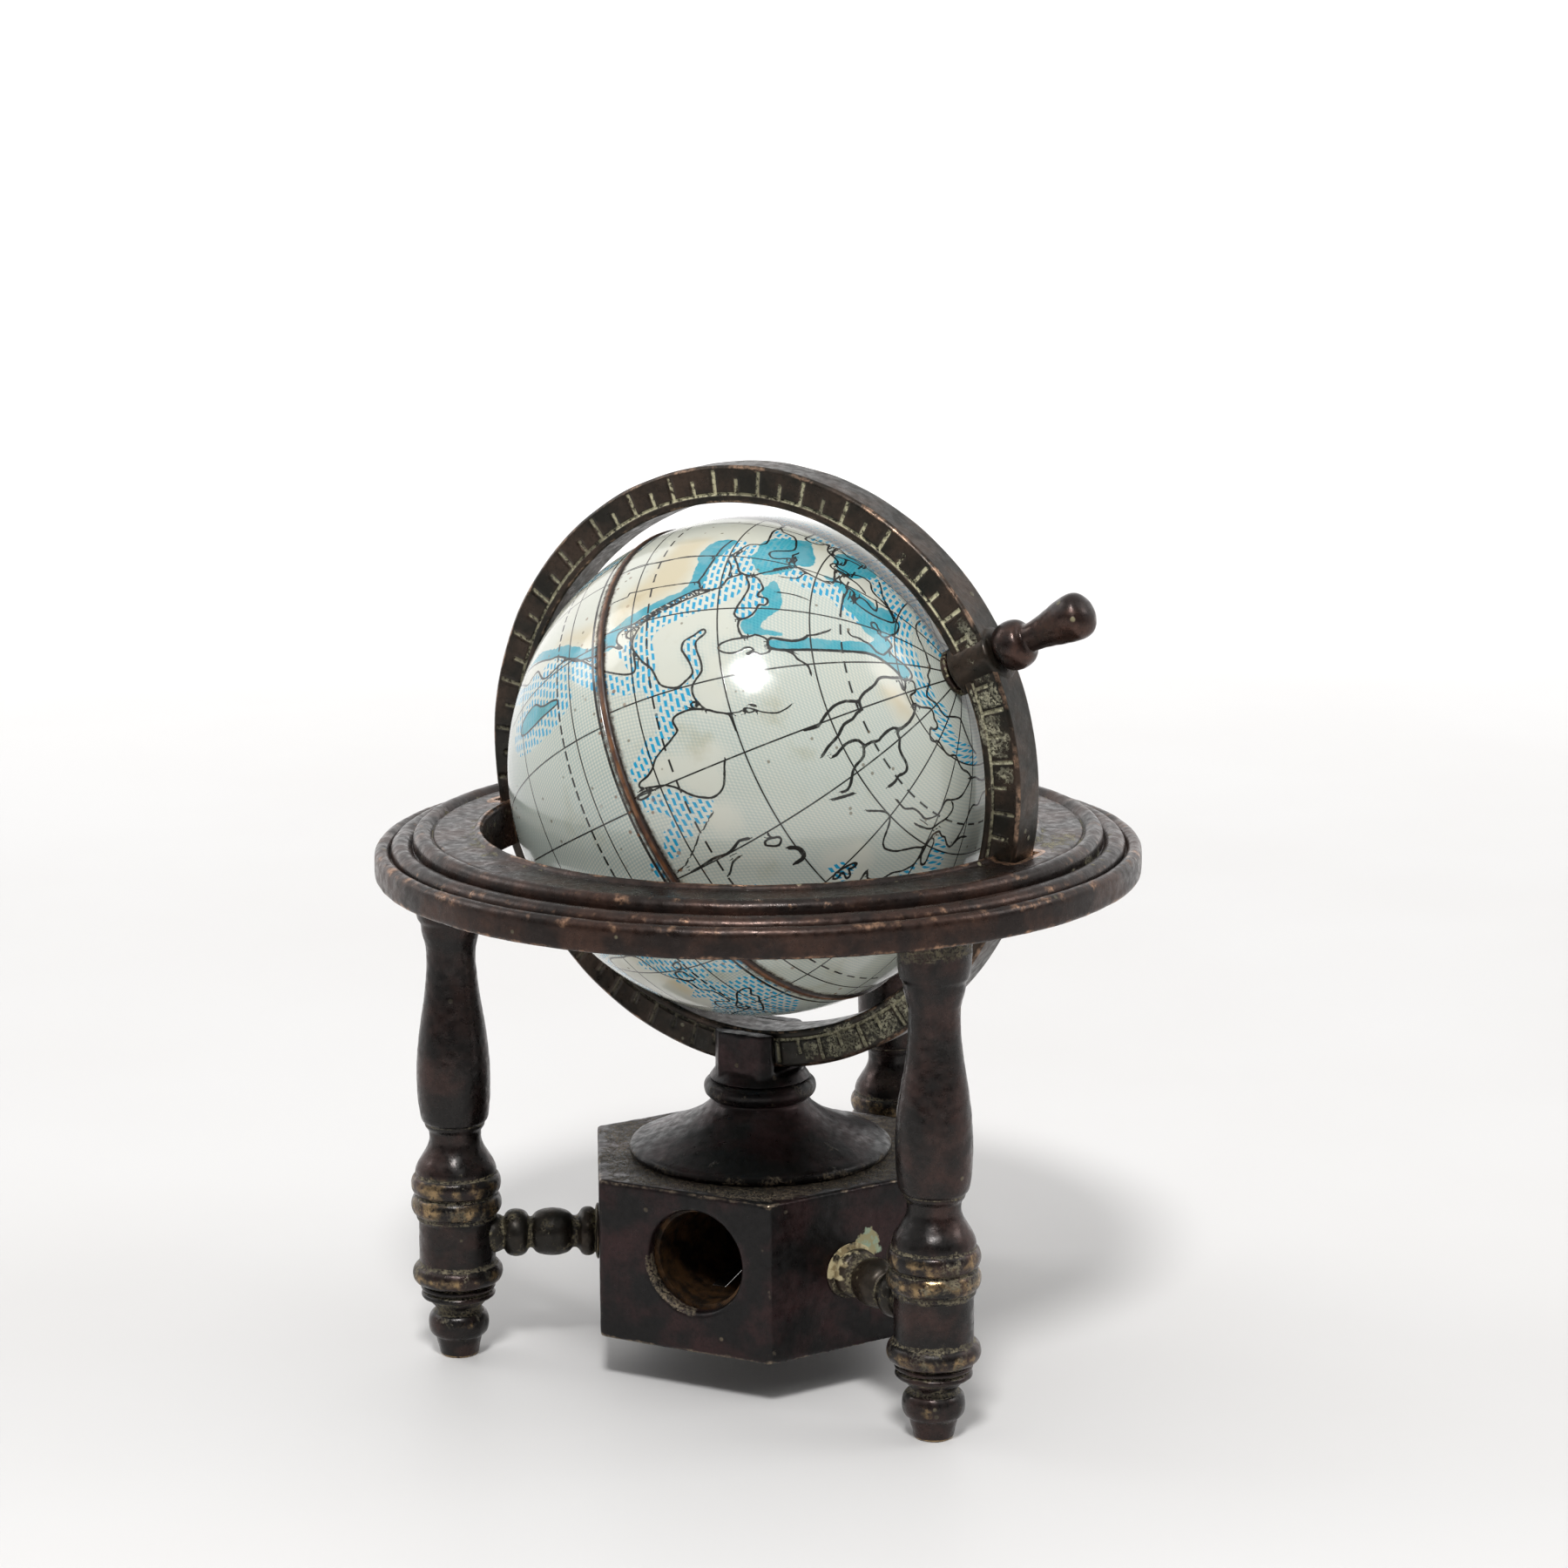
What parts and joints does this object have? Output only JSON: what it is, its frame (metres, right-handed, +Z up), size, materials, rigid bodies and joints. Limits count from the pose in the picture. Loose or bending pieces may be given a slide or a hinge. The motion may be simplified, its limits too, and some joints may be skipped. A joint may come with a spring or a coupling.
{
  "type": "miniature globe pencil sharpener",
  "caption": "Small desk globe that spins in a tilting meridian ring, inside a horizon ring on turned legs, over a six-sided box with a pencil sharpener.",
  "frame": {"origin": "on the surface that the feet stand on, under the centre of the sharpener box and the horizon ring", "axes": "+Z up; the pencil goes in along +Y, so its hole faces -Y; +X to the right, towards the north pole and its handle"},
  "size_m": [0.066, 0.066, 0.0787],
  "materials": {
    "ring_bronze": "worn antique-bronze patina on cast zinc, satin",
    "leg_bronze": "dark antique-bronze patina on cast zinc, satin, worn on the beads",
    "stretcher_bronze": "dark patina worn to brown-gold",
    "box_bronze": "near-black patina with pale chips on the edges",
    "meridian_bronze": "greenish-black patina with pale deposit in the graduations",
    "handle_bronze": "dark reddish-brown patina, rubbed",
    "printed_tin": "lithographed tin, glossy varnish",
    "seam_brown": "rusty brown, satin",
    "insert_brass": "tarnished",
    "blade_steel": "ground",
    "fastener_steel": "dull"
  },
  "bodies": {
    "stand": {"horizon_ring": "ring_bronze", "leg_front_right": "leg_bronze", "leg_front_left": "leg_bronze", "leg_rear": "leg_bronze", "stretcher_front_right": "stretcher_bronze", "stretcher_front_left": "stretcher_bronze", "stretcher_rear": "stretcher_bronze", "base_box": "box_bronze", "pedestal_disc": "box_bronze", "fork_post": "box_bronze", "pedestal_screw": "fastener_steel", "sharpener_body": "insert_brass", "sharpener_blade": "blade_steel", "blade_screw": "fastener_steel"},
    "meridian": {"meridian_ring": "meridian_bronze"},
    "globe": {"globe_north_half": "printed_tin", "globe_south_half": "printed_tin", "equator_band": "seam_brown", "polar_axle": "fastener_steel", "pole_washer_north": "meridian_bronze", "pole_washer_south": "meridian_bronze", "spin_handle": "handle_bronze", "axle_rivet": "fastener_steel"}
  },
  "joints": [
    {"name": "meridian_tilt", "type": "hinge", "parent": "stand", "child": "meridian", "pos_m": [0, 0, 0.0525], "axis": [-0.0523, -0.9986, 0], "range_deg": [0, 45]},
    {"name": "globe_spin", "type": "hinge", "parent": "meridian", "child": "globe", "pos_m": [0, 0, 0.0525], "axis": [0.8898, -0.0466, 0.454], "continuous": true}
  ]
}
